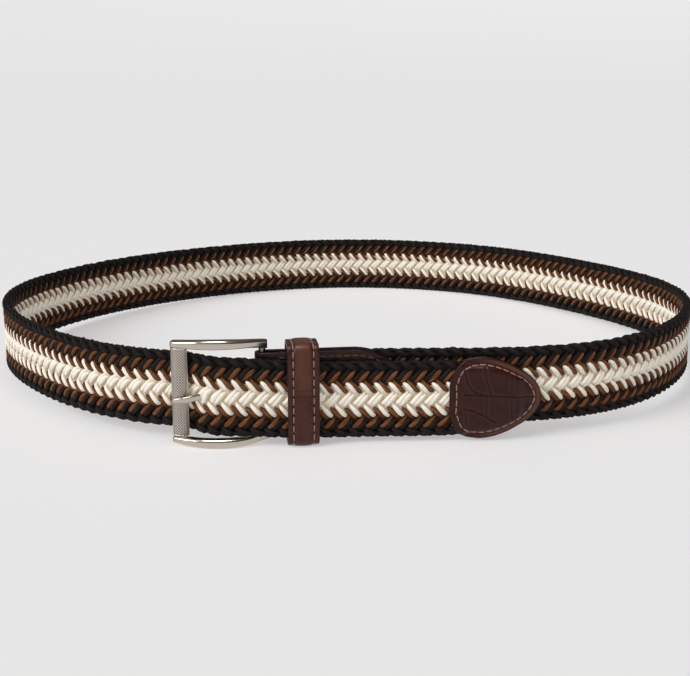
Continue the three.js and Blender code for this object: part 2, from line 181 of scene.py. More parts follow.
def onBelt(past, out, z):
    # the place this far past the heel bar, out from the loop's line, at height z, in metres
    past, out, z = np.broadcast_arrays(np.asarray(past, float), out, z)
    x = onLoop(past, "x") + onLoop(past, "aheadY") * out + shiftX
    y = onLoop(past, "y") - onLoop(past, "aheadX") * out + shiftY
    return np.stack([x, y, z], axis=-1) * mm


def middleHeight(past):
    behind = belt["loopDepth"] / 2 - onLoop(past, "y")
    return belt["width"] / 2 + belt["frontLift"] * behind / belt["loopDepth"]


def tipHalfHeight(share):
    return tip["height"] / 2 * alongTable(tipOutline, 1, share)


def strapHere(past):
    # where the strap's middle is, how tall half of it is and how thick it is
    lap = past - loopLength
    intoTip = (lap - tip["place"]) / tip["length"]
    spread = belt["lapSpread"] / 2 * alongTable(lapWay, 3, lap)
    insideTip = tipHalfHeight(np.maximum(intoTip, tip["widest"])) - tip["margin"]
    under = np.minimum(belt["width"] / 2, insideTip)
    tall = belt["width"] / 2 + spread
    tall = tall + (under - tall) * ease(intoTip, 0, 0.3)
    thick = belt["thick"] + (tip["braid"] - belt["thick"]) * ease(intoTip, -0.2, 0)
    z = middleHeight(past) - belt["lapDrop"] * alongTable(lapWay, 2, lap)
    return alongTable(lapWay, 1, lap), z, tall, thick


# Tools for meshes and pieces

def skin(across, along, place, values=None, merge=0.0004):
    # a grid laid over a surface by place(u, v), with its meeting edges and poles closed
    made = bmesh.new()
    made.loops.layers.uv.new("UVMap")
    bmesh.ops.create_grid(made, x_segments=across, y_segments=along, size=1.0, calc_uvs=True)
    shares = np.array([vertex.co[:2] for vertex in made.verts]) / 2 + 0.5
    for vertex, point in zip(made.verts, place(shares[:, 0], shares[:, 1])):
        vertex.co = point
    if values:
        for name, worth in values(shares[:, 0], shares[:, 1]).items():
            layer = made.verts.layers.float.new(name)
            for vertex, value in zip(made.verts, worth):
                vertex[layer] = value
    bmesh.ops.remove_doubles(made, verts=made.verts, dist=merge * mm)
    bmesh.ops.dissolve_degenerate(made, edges=made.edges, dist=merge * mm)
    bmesh.ops.recalc_face_normals(made, faces=made.faces)
    return made


def asMesh(name, made):
    mesh = bpy.data.meshes.new(name)
    made.to_mesh(mesh)
    made.free()
    mesh.shade_smooth()
    return mesh


def addPiece(name, made, material, node):
    mesh = asMesh(name, made) if isinstance(made, bmesh.types.BMesh) else made
    piece = bpy.data.objects.new(name, mesh)
    bpy.context.scene.collection.objects.link(piece)
    mesh.materials.clear()
    mesh.materials.append(material)
    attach(piece, "root")
    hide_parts(node)
    return piece


def roundRect(share, width, height, radius):
    # a point and its outward direction on a rounded rectangle, by share of the way round
    flat = np.array([width / 2 - radius, height / 2 - radius])
    bend = math.pi / 2 * radius
    steps = [flat[1], bend, 2 * flat[0], bend, 2 * flat[1], bend, 2 * flat[0], bend, flat[1]]
    way = np.append(0, np.cumsum(steps))
    place = np.asarray(share) * way[-1]
    centreX = np.interp(place, way, flat[0] * np.array([1, 1, 1, -1, -1, -1, -1, 1, 1, 1]))
    centreY = np.interp(place, way, flat[1] * np.array([0, 1, 1, 1, 1, -1, -1, -1, -1, 0]))
    turn = np.interp(place, way, math.pi / 2 * np.array([0, 0, 1, 1, 2, 2, 3, 3, 4, 4]))
    return centreX + radius * np.cos(turn), centreY + radius * np.sin(turn), np.cos(turn), np.sin(turn)


# Materials

def paint(code):
    # an sRGB hex colour as linear light
    parts = [int(code[i:i + 2], 16) / 255 for i in (1, 3, 5)]
    return tuple(p / 12.92 if p <= 0.04045 else ((p + 0.055) / 1.055) ** 2.4 for p in parts) + (1.0,)


def addNode(tree, kind, inputs=None, **settings):
    made = tree.nodes.new(kind)
    for name, value in settings.items():
        setattr(made, name, value)
    for name, value in (inputs or {}).items():
        if isinstance(value, bpy.types.NodeSocket):
            tree.links.new(value, made.inputs[name])
        else:
            made.inputs[name].default_value = value
    return made


def newMaterial(name):
    material = bpy.data.materials.new(name)
    material.use_nodes = True
    tree = material.node_tree
    tree.nodes.clear()
    return material, tree


def reckon(tree, operation, *values):
    return addNode(tree, "ShaderNodeMath", dict(enumerate(values)), operation=operation).outputs["Value"]


def blend(tree, share, first, second):
    # a colour between two, each a hex code or another node's colour
    first, second = [paint(one) if isinstance(one, str) else one for one in (first, second)]
    mixed = addNode(tree, "ShaderNodeMixRGB", {"Fac": share, "Color1": first, "Color2": second})
    return mixed.outputs["Color"]


def spreadOut(tree, value, low, high, toLow=0.0, toHigh=1.0):
    return addNode(tree, "ShaderNodeMapRange", {
        "Value": value, "From Min": low, "From Max": high, "To Min": toLow, "To Max": toHigh,
    }).outputs["Result"]


def noise(tree, places, scale, detail, roughness=0.5):
    return addNode(tree, "ShaderNodeTexNoise", {
        "Vector": places, "Scale": scale, "Detail": detail, "Roughness": roughness,
    }).outputs["Fac"]


def stretch(tree, places, x, y, z=1.0):
    return addNode(tree, "ShaderNodeMapping", {"Vector": places, "Scale": (x, y, z)}).outputs["Vector"]


def bump(tree, height, strength, distance):
    return addNode(tree, "ShaderNodeBump", {
        "Height": height, "Strength": strength, "Distance": distance * mm,
    }).outputs["Normal"]


def marked(tree, name):
    return addNode(tree, "ShaderNodeAttribute", attribute_name=name).outputs["Fac"]


def wherever(tree):
    return addNode(tree, "ShaderNodeTexCoord").outputs["Object"]


def finishMaterial(tree, inputs):
    shader = addNode(tree, "ShaderNodeBsdfPrincipled", inputs)
    addNode(tree, "ShaderNodeOutputMaterial", {"Surface": shader.outputs["BSDF"]})


# The braid: six groups of cords, each group kept to two of the seven rows

cords = {
    "pitch": 6.47,             # along the strap from one cord to the next of its group
    "count": 3,                # cords in a group
    "rowLines": [18.0, 13.9, 8.2, 2.7, -2.9, -8.6, -14.1, -18.0],
    # a group's cords turn back this far inside their rows, at the top and at the bottom
    "insets": [(1.4, 1.0), (1.0, 1.0), (1.0, 1.0), (1.0, 1.0), (1.6, 1.0), (1.0, 1.4)],
    "sink": 1.2,               # how far a cord is from the strap's middle at the top of its float
    "plateau": 2.4,            # how soon a cord rises to that
    "width": 2.4,
    "thick": 1.8,
    "narrow": 0.72,            # a cord's share of its width where it dives under the next row
    "edgeGrow": 0.36,
    "steps": 7,                # points in a row's crossing
    "sides": 8,
    "phase": 0.7,              # brings the floats to where the photograph has them
    "wander": 0.12,
    "shifts": [0, 0.35, 0, 0, -0.5, -0.1],  # along the strap, group by group
    "edgeCord": {"up": 16.8, "wave": 0.25, "out": 0.25, "size": 0.76},
    # bunched at the bar, the prong and the keeper, drawn out by the tip: place in the lap, reach, how far
    "pulls": [(-38, 9, -1.65), (-18, 22, -1.2), (17, 9, -0.55), (52, 38, 1.1)],
}
waveUnit = math.tau / 20       # the wave node's scale that gives one band in each unit

cordLook = {
    "ribs": 7,                 # knitted ribs that show round a cord; real ones are finer
    "ribDepth": 0.05,
    "streakLength": 5.0,
    "streaks": 9.0,            # round a cord
    "fuzz": 0.25,
    "flank": 4.5,              # the higher, the narrower the shade along a cord's sides
}


def cordFlankShade(tree, places):
    # painted shade along a cord's sides, where it presses on the next one: how far round to its sides a
    # spot on a cord is
    around = addNode(tree, "ShaderNodeSeparateXYZ", {"Vector": places}).outputs["Y"]
    turn = reckon(tree, "MULTIPLY_ADD", around, math.tau, math.tau / 2 / cords["sides"])
    away = reckon(tree, "ABSOLUTE", reckon(tree, "SINE", turn))
    return reckon(tree, "POWER", away, cordLook["flank"])


def cordMaterial(name, light, dark, deep, sheen):
    # Viscose cord knitted over rubber: matt, with ribs along its length, a little uneven in its dye. Its
    # deep colour is painted shade, laid in the rib furrows and along the flanks.
    material, tree = newMaterial(name)
    places = addNode(tree, "ShaderNodeUVMap", uv_map="UVMap").outputs["UV"]
    along = stretch(tree, places, 1 / cordLook["streakLength"], cordLook["streaks"])
    streaks = noise(tree, along, 1.0, 3.0, 0.6)
    dyed = blend(tree, spreadOut(tree, streaks, 0.32, 0.68), dark, light)
    ribs = addNode(tree, "ShaderNodeTexWave", {
        "Vector": stretch(tree, places, 0.12, float(cordLook["ribs"])),
        "Scale": waveUnit, "Distortion": 0.6, "Detail": 1.0,
    }, wave_type="BANDS", bands_direction="Y").outputs["Fac"]
    # painted shade in the furrows between the ribs
    ribShaded = blend(tree, spreadOut(tree, ribs, 0.0, 0.35, 0.35, 0.0), dyed, deep)
    fuzz = noise(tree, wherever(tree), 1 / (cordLook["fuzz"] * mm), 2.0)
    finishMaterial(tree, {
        "Base Color": blend(tree, cordFlankShade(tree, places), ribShaded, deep),
        "Roughness": 0.85,
        "Specular IOR Level": 0.12,
        "Sheen Weight": sheen,
        "Sheen Roughness": 0.5,
        "Normal": bump(tree, reckon(tree, "ADD", ribs, fuzz), 0.55, cordLook["ribDepth"]),
    })
    return material


advance = cords["pitch"] * cords["count"] / 4
strapEnd = loopLength + tip["place"] + tip["braidInside"] * tip["length"]
prongHole = {
    "past": loopLength - 0.72 * buckle["barSpacing"],
    "z": 22.9, "push": 1.5, "reach": 5.5, "width": 5.0,
}


def cordRoute(group, number):
    # one cord in a straight strap: along, out of the face, and up from the middle
    rows = cords["rowLines"]
    top = rows[group] - cords["insets"][group][0]
    middle = rows[group + 1]
    bottom = rows[group + 2] + cords["insets"][group][1]
    offset = cords["phase"] + (number + group % 2 / 2) * cords["pitch"] + cords["shifts"][group]
    first = math.ceil((belt["start"] - offset) / advance * cords["steps"])
    last = math.floor((strapEnd - offset) / advance * cords["steps"])
    phase = np.arange(first, last + 1) / cords["steps"]
    swing = np.arcsin(0.975 * np.cos(math.pi / 2 * phase)) / math.asin(0.975)
    up = middle + np.where(swing > 0, (top - middle) * swing, (middle - bottom) * swing)
    face = (1 if group % 2 == 0 else -1) * np.sin(math.pi * phase)
    out = cords["sink"] * np.tanh(cords["plateau"] * face) / math.tanh(cords["plateau"])
    size = cords["narrow"] + (1 - cords["narrow"]) * np.abs(face) ** 0.8
    if group == 0:
        size = size + cords["edgeGrow"] * np.maximum(swing, 0)
    if group == 5:
        size = size + cords["edgeGrow"] * np.maximum(-swing, 0)
    along = offset + advance * phase
    knots = np.arange(math.floor(phase[0]), math.ceil(phase[-1]) + 1)
    wobble = np.interp(phase, knots, dice.normal(0, 1, len(knots)))
    up = up + cords["wander"] * wobble
    size = size * (1 + 0.04 * wobble)
    return along, out, up, size


def edgeRoute(side):
    # the cord that lies along the strap's edge and fills it between the turns
    look = cords["edgeCord"]
    along = np.arange(belt["start"], strapEnd, cords["pitch"] / 6)
    turn = math.tau * (along - cords["phase"] - (0.4 if side < 0 else 0)) / cords["pitch"]
    up = side * (look["up"] - look["wave"] * np.cos(turn))
    return along, look["out"] * np.sin(turn), up, look["size"] * (1 - 0.08 * np.cos(turn))


def bevelOutline():
    # the cord's own section, a flat oval
    outline = bpy.data.curves.new("cordSection", "CURVE")
    outline.dimensions = "2D"
    spline = outline.splines.new("POLY")
    spline.points.add(cords["sides"] - 1)
    for i, point in enumerate(spline.points):
        turn = math.tau * (i + 0.5) / cords["sides"]
        point.co = (cords["thick"] / 2 * math.cos(turn), cords["width"] / 2 * math.sin(turn), 0, 1)
    spline.use_cyclic_u = True
    section = bpy.data.objects.new("cordSection", outline)
    bpy.context.scene.collection.objects.link(section)
    return section


def layOnStrap(along, out, up):
    # bends the straight strap round the loop, through the buckle and into the tip
    for place, reach, pull in cords["pulls"]:
        along = along + pull * np.tanh((along - loopLength - place) / reach)
    strapOut, middle, tall, thick = strapHere(along)
    nearHole = np.exp(-(((along - prongHole["past"]) / prongHole["reach"]) ** 2))
    fromHole = up - (prongHole["z"] - middle)
    push = prongHole["push"] * nearHole * np.exp(-np.abs(fromHole) / prongHole["width"])
    up = up * tall / (belt["width"] / 2) + push * np.tanh(fromHole / 0.4)
    return onBelt(along, strapOut + out * thick / belt["thick"], middle + up)


def cordGroup(group, section):
    curve = bpy.data.curves.new("cords", "CURVE")
    curve.dimensions = "3D"
    curve.twist_mode = "Z_UP"
    curve.bevel_mode = "OBJECT"
    curve.bevel_object = section
    curve.use_fill_caps = True
    lengths = []
    routes = [cordRoute(group, number) for number in range(cords["count"])]
    if group in (0, 5):
        routes.append(edgeRoute(1 if group == 0 else -1))
    for number, (along, out, up, size) in enumerate(routes):
        spline = curve.splines.new("POLY")
        spline.points.add(len(along) - 1)
        spline.points.foreach_set("co", np.stack([along, out, up, np.ones_like(along)], axis=1).ravel())
        spline.points.foreach_set("radius", size)
        steps = np.hypot(np.hypot(np.diff(along), np.diff(out)), np.diff(up))
        way = np.append(0, np.cumsum(steps)) + 400 * (number + 4 * group)
        lengths.append(np.append(way, [way[0], way[-1]]))  # each end's cap has a ring of its own
    holder = bpy.data.objects.new("cords", curve)
    bpy.context.scene.collection.objects.link(holder)
    shown = holder.evaluated_get(bpy.context.evaluated_depsgraph_get())
    mesh = bpy.data.meshes.new_from_object(shown)
    bpy.data.objects.remove(holder)
    return mesh, np.concatenate(lengths)


def wrapCords(mesh, lengths):
    # the UV map runs along each cord in millimetres and once round it
    sides = cords["sides"]
    points = np.empty(len(mesh.vertices) * 3)
    mesh.vertices.foreach_get("co", points)
    points = points.reshape(-1, 3)
    mesh.vertices.foreach_set("co", layOnStrap(points[:, 0], points[:, 1], points[:, 2]).ravel())
    corners = np.empty(len(mesh.loops), int)
    mesh.loops.foreach_get("vertex_index", corners)
    starts = np.empty(len(mesh.polygons), int)
    mesh.polygons.foreach_get("loop_start", starts)
    around = corners % sides
    face = np.repeat(np.arange(len(starts)), np.diff(np.append(starts, len(corners))))
    widest = np.maximum.reduceat(around, starts)[face]
    around = np.where((around == 0) & (widest == sides - 1), sides, around)
    ring = np.minimum(corners // sides, len(lengths) - 1)
    layer = mesh.uv_layers[0] if mesh.uv_layers else mesh.uv_layers.new(name="UVMap")
    layer.name = "UVMap"
    layer.data.foreach_set("uv", np.stack([lengths[ring], around / sides], axis=1).ravel())
    mesh.update()
    mesh.shade_smooth()


core = {"width": 32.5, "thick": 0.7, "round": 0.3, "short": 2.0, "creamTo": 6.2, "brownTo": 10.5}


def strapCore(material):
    # the cords' own inside, which closes the small gaps between them
    begin = belt["start"] + core["short"]
    end = strapEnd - core["short"]

    def place(u, v):
        up, out, _, _ = roundRect(u, core["width"], core["thick"], core["round"])
        inside = np.where((v <= 0) | (v >= 1), 0, 1)
        return layOnStrap(begin + (end - begin) * v, out * inside, up * inside)

    def values(u, v):
        return {"up": roundRect(u, core["width"], core["thick"], core["round"])[0]}

    addPiece("strap_core", skin(32, 620, place, values), material, "braided_strap")


# the third colour of each, after the light and dark dye, is the cord's painted shade
blackCord = cordMaterial("viscose cord over rubber, black", "#2c2523", "#15100e", "#080605", 0.02)
brownCord = cordMaterial("viscose cord over rubber, tan", "#8c5834", "#4b2c18", "#241309", 0.03)
creamCord = cordMaterial("viscose cord over rubber, ecru", "#f7f0e5", "#efe6d9", "#d9cfbd", 0.03)


def coreMaterial():
    # The inside of the braid: cords of each row's own colour in deep shade.
    material, tree = newMaterial("viscose cord in shade")
    away = reckon(tree, "ABSOLUTE", marked(tree, "up"))
    inner = blend(tree, reckon(tree, "GREATER_THAN", away, core["creamTo"]), "#cbbda6", "#3a2416")
    outer = blend(tree, reckon(tree, "GREATER_THAN", away, core["brownTo"]), inner, "#14100f")
    finishMaterial(tree, {"Base Color": outer, "Roughness": 0.95, "Specular IOR Level": 0.1})
    return material


def makeBraid():
    section = bevelOutline()
    names = ["black_upper", "brown_upper", "cream_upper", "cream_lower", "brown_lower", "black_lower"]
    looks = [blackCord, brownCord, creamCord, creamCord, brownCord, blackCord]
    for group, (name, look) in enumerate(zip(names, looks)):
        mesh, lengths = cordGroup(group, section)
        wrapCords(mesh, lengths)
        mesh.name = "cords_" + name
        addPiece("cords_" + name, mesh, look, "braided_strap")
        print("cords", name, len(mesh.vertices), "vertices")
    bpy.data.objects.remove(section)
    strapCore(coreMaterial())


makeBraid()
print("braid made")


# Leather and thread

def leatherMaterial(name, grain, relief, dark, light):
    # Waxed calf leather: dark red-brown with a soft shine. The lighter mix is partly pull-up where the
    # leather is stretched and partly a painted highlight; the dark mix is painted shade.
    material, tree = newMaterial(name)
    whole = wherever(tree)
    clouds = noise(tree, whole, 1 / (7 * mm), 4.0, 0.6)
    fibres = noise(tree, whole, 1 / (1.2 * mm), 3.0)
    dyed = blend(tree, spreadOut(tree, reckon(tree, "ADD", clouds, fibres), 0.75, 1.3), dark, light)
    # lighter: pull-up where stretched, and a painted highlight where the attribute marks one
    pulledUpAndLit = blend(tree, marked(tree, "worn"), dyed, "#744a39")
    pores = addNode(tree, "ShaderNodeTexVoronoi", {
        "Vector": whole, "Scale": 1 / (grain * mm), "Randomness": 0.9,
    }, feature="DISTANCE_TO_EDGE").outputs["Distance"]
    cells = spreadOut(tree, pores, 0.0, 0.25)
    # the deep attribute mixes in painted shade, #150806
    finishMaterial(tree, {
        "Base Color": blend(tree, marked(tree, "deep"), pulledUpAndLit, "#150806"),
        "Roughness": spreadOut(tree, clouds, 0.3, 0.7, 0.26, 0.38),
        "Specular IOR Level": 0.2,
        "Coat Weight": 0.06,
        "Coat Roughness": 0.15,
        "Normal": bump(tree, reckon(tree, "ADD", cells, fibres), relief, 0.06),
    })
    return material


def threadMaterial(name, dark, light):
    # Waxed polyester thread, twisted: a pale red-brown with a silky shine. The dark copy is the same thread
    # in painted shade, for the tab's stitches.
    material, tree = newMaterial(name)
    places = addNode(tree, "ShaderNodeUVMap", uv_map="UVMap").outputs["UV"]
    twist = addNode(tree, "ShaderNodeTexWave", {
        "Vector": stretch(tree, places, 1.0, 5.0), "Scale": 2 * waveUnit,
    }, wave_type="BANDS", bands_direction="DIAGONAL").outputs["Fac"]
    finishMaterial(tree, {
        "Base Color": blend(tree, twist, dark, light),
        "Roughness": 0.5,
        "Sheen Weight": 0.1,
        "Normal": bump(tree, twist, 0.6, 0.08),
    })
    return material


smoothLeather = leatherMaterial("waxed calf leather, smooth", 0.55, 0.35, "#381711", "#4a271d")
embossedLeather = leatherMaterial("waxed calf leather, embossed", 0.7, 0.5, "#270c09", "#371610")
paleThread = threadMaterial("waxed polyester thread, pale", "#735043", "#a17a69")
shadedThread = threadMaterial("waxed polyester thread, in painted shade", "#2e1a15", "#4d3128")

# Stitches: one short thread each, its ends drawn down into the leather

stitch = {"length": 3.3, "thick": 0.75, "dip": 0.34, "around": 6, "rings": 7}


def addStitches(name, node, spots, thread):
    # spots are a middle, a direction along the seam and a direction out of the leather, in metres
    made = bmesh.new()
    made.loops.layers.uv.new("UVMap")
    for middle, ahead, outward in spots:
        ahead = Vector(ahead).normalized()
        outward = Vector(outward).normalized()
        side = outward.cross(ahead)
        grown = bmesh.ops.create_uvsphere(
            made, u_segments=stitch["around"], v_segments=stitch["rings"], radius=1.0, calc_uvs=True)
        for vertex in grown["verts"]:
            x, y, z = vertex.co
            fat = max(math.hypot(x, y), 1e-6) ** -0.5 * stitch["thick"] / 2
            rise = y * fat - stitch["dip"] * z * z
            away = ahead * z * stitch["length"] / 2 + side * x * fat + outward * rise
            vertex.co = Vector(middle) + away * mm
    return addPiece(name, made, thread, node)


def seamSpots(surface, way, pitch, lift):
    # stitches on surface(place, lift) by even steps along a way of places, in millimetres
    points = surface(way, lift)
    steps = np.linalg.norm(np.diff(points, axis=0), axis=1)
    arc = np.append(0, np.cumsum(steps)) / mm
    count = max(int(round(arc[-1] / pitch)), 1)
    rows = np.arange(len(way))
    spots = []
    for i in range(count):
        middle = np.interp((i + 0.5) / count * arc[-1], arc, rows)
        near = np.array([middle - 0.3, middle, middle + 0.3])
        places = np.stack([np.interp(near, rows, column) for column in way.T], axis=1)
        back, here, front = surface(places, lift)
        above = surface(places, lift + 0.2)[1]
        spots.append((here, front - back, above - here))
    return spots


# The keeper: one leather strip with a padded middle between two rows of stitches

keeperLook = {
    "edgeRound": 0.8,
    "seamInset": 2.5,
    "seamPitch": 4.3,
    "seamDepth": 0.28,
    "padding": 0.55,
    "dome": 0.6,               # the share of the padding that swells to the middle
    "crease": 0.22,
    "creases": [24.4, 27.2],
    "bulge": 0.9,              # the front and back stand out this much more at half height
    "hole": 0.5,
}
keeperIn = -tabFace - keeper["gap"] - keeper["wall"]
keeperOut = lapOut + braidHalf + keeper["slack"] + keeper["wall"]


def keeperPlace(across, share, lift):
    # the place on the keeper's outside: across from its middle, by share of the way round
    out, z, outward, upward = roundRect(share, keeperOut - keeperIn, keeper["height"], keeper["corner"])
    lift = lift - keeperLook["bulge"] * np.abs(outward) * (2 * z / keeper["height"]) ** 2
    return onBelt(
        keeper["place"] + across,
        (keeperIn + keeperOut) / 2 + out + outward * lift,
        keeper["height"] / 2 + z + upward * lift,
    )


def keeperSeam(places, lift):
    return keeperPlace(places[:, 0], places[:, 1], lift)


def makeKeeper():
    look = keeperLook
    half = keeper["length"] / 2
    seamAt = half - look["seamInset"]
    ring = keeperPlace(seamAt, np.linspace(0, 1, 200), 0) / mm
    holes = round(np.linalg.norm(np.diff(ring, axis=0), axis=1).sum() / look["seamPitch"])

    def shape(u, v):
        across, depth, _, toOutside = roundRect(u, keeper["length"], keeper["wall"], look["edgeRound"])
        z = keeper["height"] / 2 + roundRect(v, keeperOut - keeperIn, keeper["height"], keeper["corner"])[1]
        outer = ease(toOutside, 0.2, 0.9)
        dome = look["dome"] * (1 - np.minimum((across / seamAt) ** 2, 1))
        pad = look["padding"] * ((1 - look["dome"]) * ease(seamAt - np.abs(across), 0, 1.6) + dome - 1)
        fromSeam = np.abs(across) - seamAt
        fromHole = (np.mod(v * holes + 0.5, 1) - 0.5) * look["seamPitch"]
        channel = look["seamDepth"] * np.exp(-((fromSeam / 0.42) ** 2))
        channel = channel + look["hole"] * np.exp(-((fromSeam / 0.4) ** 2) - (fromHole / 0.4) ** 2)
        crease = sum(np.exp(-(((z - place) / 0.3) ** 2)) for place in look["creases"])
        crease = crease * ease(seamAt - np.abs(across), 0.3, 1)
        lift = depth - keeper["wall"] / 2 + outer * (pad - channel - look["crease"] * crease)
        # the last value sets the painted shade in the seam channels, stitch holes and creases
        return across, lift, outer, 1.2 * channel + 0.3 * crease

    def place(u, v):
        across, lift, _, _ = shape(u, v)
        return keeperPlace(across, v, lift)

    def values(u, v):
        across, _, outer, sunk = shape(u, v)
        edge = np.exp(-(((np.abs(across) - half) / 0.7) ** 2))
        crown = ease(seamAt - np.abs(across), 0.2, 2.5)
        high = roundRect(v, keeperOut - keeperIn, keeper["height"], keeper["corner"])[1] / keeper["height"]
        # painted highlight: the padded middle lighter over the keeper's upper half
        upperHighlight = 0.04 + 0.24 * ease(high, -0.02, 0.12)
        # painted shade in the seam channels, holes and creases; darker along the cut edges
        return {"worn": outer * upperHighlight * crown, "deep": np.clip(sunk * outer + 0.35 * edge, 0, 1)}

    addPiece("keeper_leather", skin(84, 420, place, values), smoothLeather, "keeper_loop")
    spots = []
    for side in (-1, 1):
        way = np.stack([np.full(200, side * seamAt), np.linspace(0, 1, 200)], axis=1)
        spots += seamSpots(keeperSeam, way, look["seamPitch"], -look["padding"] - 0.02)
    addStitches("keeper_stitches", "keeper_loop", spots, paleThread)


# The tip: two panels sewn together over the braid's end, the front one embossed

tipLook = {
    "padding": 0.45,
    "seamDepth": 0.25,
    "seamPitch": 3.7,
    "seamInset": 3.3,
    "rimRound": 0.55,
    "groove": 0.26,
    "grooveHalf": 0.42,
    # the embossed grooves: along from the mouth, up from the middle
    "grooves": [
        [(6.4, 2.6), (16, 1.9), (27, 1.2), (38, 0.2)],
        [(15.6, 15.4), (16.2, 9.5), (17.6, 5.2), (18.6, 1.9)],
        [(16.9, 1.8), (16.5, -4.2), (17.2, -8.4), (21.2, -10.8)],
        [(27.4, 14.2), (27.2, 5), (27.5, -4), (28.2, -13.4)],
        [(6.8, 13), (8.4, 7), (11.6, 3.6), (17, 1.9)],
        [(6.6, -4.2), (11.4, -5.4), (17.2, -8.4)],
        [(7.4, -4.6), (7.8, -12.6)],
    ],
}


def tipRim(share):
    # the leather end's outline by share of its length, from the middle of the mouth
    rows = np.linspace(0, 1, 240)
    half = tipHalfHeight(rows)
    x = np.concatenate([[0], rows * tip["length"], rows[::-1] * tip["length"], [0]])
    up = np.concatenate([[0], half, -half[::-1], [0]])
    arc = np.append(0, np.cumsum(np.hypot(np.diff(x), np.diff(up))))
    place = np.asarray(share) * arc[-1]
    return np.interp(place, arc, x), np.interp(place, arc, up)


def tipPlace(x, up, height):
    # the place on the tip: along from the mouth, up from the strap's middle, out from its middle
    past = loopLength + tip["place"] + x
    out, z, _, _ = strapHere(past)
    return onBelt(past, out + height, z + up)


def tipInside(x, up):
    # half the room for the braid between the panels
    tall = strapHere(loopLength + tip["place"] + x)[2]
    cover = ease(tall - np.abs(up), -1.2, 1.6)
    cover = cover * (1 - ease(x / tip["length"], tip["braidInside"] - 0.06, tip["braidInside"] + 0.05))
    return 0.04 + (tip["braid"] / 2 + tip["gap"]) * cover


def grooveDepth(x, up):
    # one in a groove's middle, below nought on the ridges beside it
    nearest = np.full(np.shape(x), 99.0)
    for groove in tipLook["grooves"]:
        table = [(i / (len(groove) - 1), *point) for i, point in enumerate(groove)]
        steps = np.linspace(0, 1, 24)
        lineX = alongTable(table, 1, steps)
        lineUp = alongTable(table, 2, steps)
        for a, b, c, d in zip(lineX[:-1], lineUp[:-1], lineX[1:], lineUp[1:]):
            t = np.clip(((x - a) * (c - a) + (up - b) * (d - b)) / ((c - a) ** 2 + (d - b) ** 2), 0, 1)
            nearest = np.minimum(nearest, np.hypot(x - a - t * (c - a), up - b - t * (d - b)))
    ridge = np.exp(-(((nearest - 0.85) / 0.4) ** 2))
    return np.exp(-((nearest / tipLook["grooveHalf"]) ** 2)) - 0.35 * ridge


def tipPanel(name, side):
    look = tipLook
    centre = tip["centre"] * tip["length"]
    # shares of the rows: up to the first for the outer face, up to the second for the rim
    rimFrom, rimTo = 0.72, 0.82

    def spot(u, v):
        rimX, rimUp = tipRim(u)
        reach = np.hypot(rimX - centre, rimUp)
        turn = np.interp(v, [0, rimFrom, rimTo, 1], [0, 0, math.pi, math.pi])
        toRim = np.interp(v, [0, rimFrom, rimTo, 1], [0, 1, 1, 0])
        inset = look["rimRound"] * (1 - np.sin(turn)) + (reach - look["rimRound"]) * (1 - toRim)
        x = centre + (rimX - centre) * (1 - inset / reach)
        up = rimUp * (1 - inset / reach)
        return x, up, inset, turn

    def outside(x, up, inset):
        pad = look["padding"] * (ease(inset, look["seamInset"], look["seamInset"] + 3) - 0.5)
        seam = look["seamDepth"] * np.exp(-(((inset - look["seamInset"]) / 0.4) ** 2))
        grooves = grooveDepth(x, up) * ease(inset, look["seamInset"] + 0.3, look["seamInset"] + 1)
        if side < 0:
            return pad * 0.4 - seam, 0 * grooves
        return pad - seam - look["groove"] * grooves, grooves

    def place(u, v):
        x, up, inset, turn = spot(u, v)
        detail, _ = outside(x, up, inset)
        through = tip["panel"] / 2
        height = tipInside(x, up) + through + through * np.cos(turn) + detail * np.maximum(np.cos(turn), 0)
        return tipPlace(x, up, side * height)

    def values(u, v):
        x, up, inset, turn = spot(u, v)
        grooves = outside(x, up, inset)[1]
        outer = np.maximum(np.cos(turn), 0)
        seam = np.exp(-(((inset - look["seamInset"]) / 0.45) ** 2))
        margin = np.exp(-(((inset - 1.4) / 1.0) ** 2)) * ease(x, 8, 26)
        cut = 1 - ease(inset, 0, 0.9)
        return {
            # painted highlight along the rim's margin, and lighter on the ridges beside the grooves
            "worn": outer * (0.5 * margin + 0.3 * np.maximum(-grooves, 0)),
            # painted shade in the embossed grooves and the seam channel; darker at the cut rim
            "deep": np.clip(outer * (0.35 * np.maximum(grooves, 0) + 0.5 * seam) + 0.5 * cut, 0, 1),
        }

    leather = embossedLeather if side > 0 else smoothLeather
    addPiece(name, skin(200, 110, place, values), leather, "tip_leather")

    def surface(places, lift):
        rimX, rimUp = tipRim(places[:, 0])
        reach = np.hypot(rimX - centre, rimUp)
        x = centre + (rimX - centre) * (1 - look["seamInset"] / reach)
        up = rimUp * (1 - look["seamInset"] / reach)
        return tipPlace(x, up, side * (tipInside(x, up) + tip["panel"] + lift))

    way = np.linspace(0, 1, 200)[:, None]
    return seamSpots(surface, way, look["seamPitch"], -look["padding"] / 2 - 0.05)


def makeTip():
    spots = tipPanel("tip_front", 1) + tipPanel("tip_back", -1)
    addStitches("tip_stitches", "tip_leather", spots, paleThread)


# The tab: one strip from the front of the strap's end, round the heel bar and along its back

tabLook = {"seamInset": 2.4, "seamPitch": 3.7, "crossSeam": 7.0, "edgeRound": 0.45}


